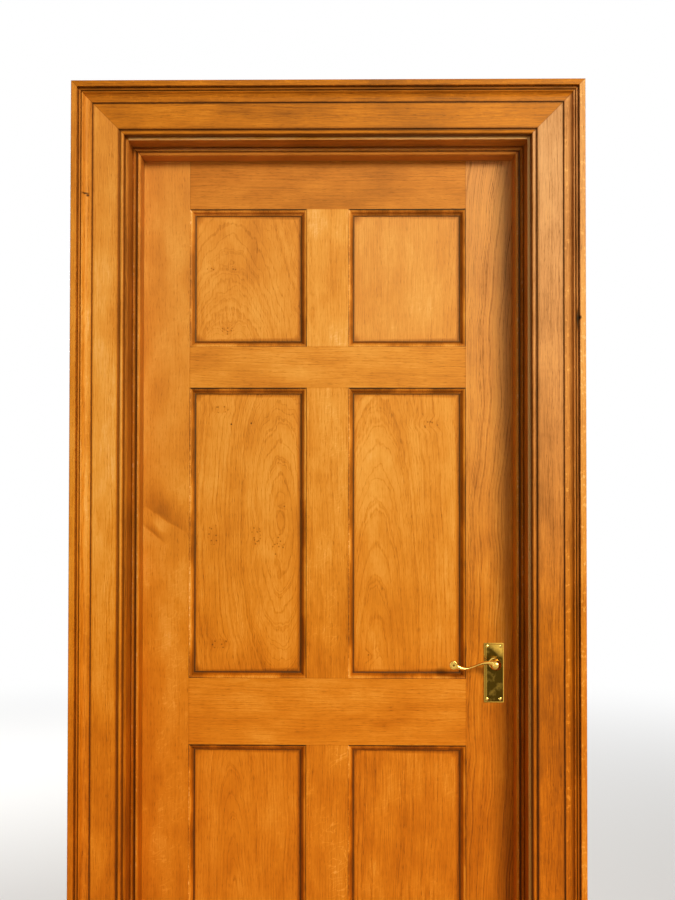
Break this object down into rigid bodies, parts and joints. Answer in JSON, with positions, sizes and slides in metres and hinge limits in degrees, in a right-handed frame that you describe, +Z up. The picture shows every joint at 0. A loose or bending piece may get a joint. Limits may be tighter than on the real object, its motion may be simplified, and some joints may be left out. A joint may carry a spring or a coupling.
{
  "type": "panelled door with frame",
  "caption": "Panelled oak door hung in a moulded oak frame, with planted architraves on both faces, butt hinges and a brass lever latch.",
  "frame": {"origin": "floor level, in the middle of the doorway's width and of the wall's thickness", "axes": "+Z up, +X towards the lock side, +Y towards the side the leaf opens to; the face with the leaf set back in the frame looks to -Y"},
  "size_m": [1.046, 0.2261, 2.1575],
  "materials": {
    "oak_framing": "waxed, satin",
    "oak_panel": "waxed, satin",
    "oak_moulding": "waxed, satin, dark in the quirks",
    "polished_brass": "polished, lacquered",
    "dull_brass": "brushed",
    "plated_steel": "bright zinc"
  },
  "bodies": {
    "frame": {"architrave_front_head": "oak_moulding", "architrave_front_left": "oak_moulding", "architrave_front_right": "oak_moulding", "architrave_rear_head": "oak_moulding", "architrave_rear_left": "oak_moulding", "architrave_rear_right": "oak_moulding", "back_band_front_head": "oak_moulding", "back_band_front_left": "oak_moulding", "back_band_front_right": "oak_moulding", "frame_screws": "dull_brass", "hinge_bottom_frame_leaf": "dull_brass", "hinge_jamb": "oak_framing", "hinge_middle_frame_leaf": "dull_brass", "hinge_pins": "dull_brass", "hinge_top_frame_leaf": "dull_brass", "lining_head": "oak_framing", "lock_jamb": "oak_framing", "stop_head": "oak_moulding", "stop_hinge_side": "oak_moulding", "stop_lock_side": "oak_moulding", "strike_plate": "dull_brass"},
    "door": {"backplate_front": "polished_brass", "backplate_rear": "polished_brass", "bottom_rail": "oak_framing", "door_screws": "dull_brass", "frieze_rail": "oak_framing", "hinge_bottom_door_leaf": "dull_brass", "hinge_middle_door_leaf": "dull_brass", "hinge_stile": "oak_framing", "hinge_top_door_leaf": "dull_brass", "latch_case": "plated_steel", "latch_cover": "plated_steel", "latch_faceplate": "dull_brass", "latch_spring": "plated_steel", "lock_rail": "oak_framing", "lock_stile": "oak_framing", "muntin_bottom": "oak_framing", "muntin_middle": "oak_framing", "muntin_top": "oak_framing", "panel_bottom_left": "oak_panel", "panel_bottom_right": "oak_panel", "panel_middle_left": "oak_panel", "panel_middle_right": "oak_panel", "panel_top_left": "oak_panel", "panel_top_right": "oak_panel", "strips_bottom_left": "oak_moulding", "strips_bottom_right": "oak_moulding", "strips_middle_left": "oak_moulding", "strips_middle_right": "oak_moulding", "strips_rear": "oak_moulding", "strips_top_left": "oak_moulding", "strips_top_right": "oak_moulding", "tenon_wedges": "oak_framing", "top_rail": "oak_framing"},
    "levers": {"lever_front": "polished_brass", "lever_rear": "polished_brass", "spindle": "plated_steel", "latch_follower": "plated_steel", "grub_screws": "plated_steel"},
    "latch_bolt": {"latch_bolt": "plated_steel"}
  },
  "joints": [
    {"name": "door_hinge", "type": "hinge", "parent": "frame", "child": "door", "pos_m": [-0.408, 0.076, 1.0625], "axis": [0, 0, 1], "range_deg": [0, 140]},
    {"name": "lever_turn", "type": "hinge", "parent": "door", "child": "levers", "pos_m": [0.3515, 0.048, 0.961], "axis": [0, -1, 0], "range_deg": [0, 40], "stiffness_Nm_per_rad": 1, "springref_deg": -22.92, "deforming": ["latch_spring"]},
    {"name": "bolt_slide", "type": "slide", "parent": "door", "child": "latch_bolt", "axis": [-1, 0, 0], "range_m": [0, 0.012]}
  ],
  "couplings": [
    {"joint": "bolt_slide", "follows": "lever_turn", "m_per_rad": 0.017188}
  ]
}
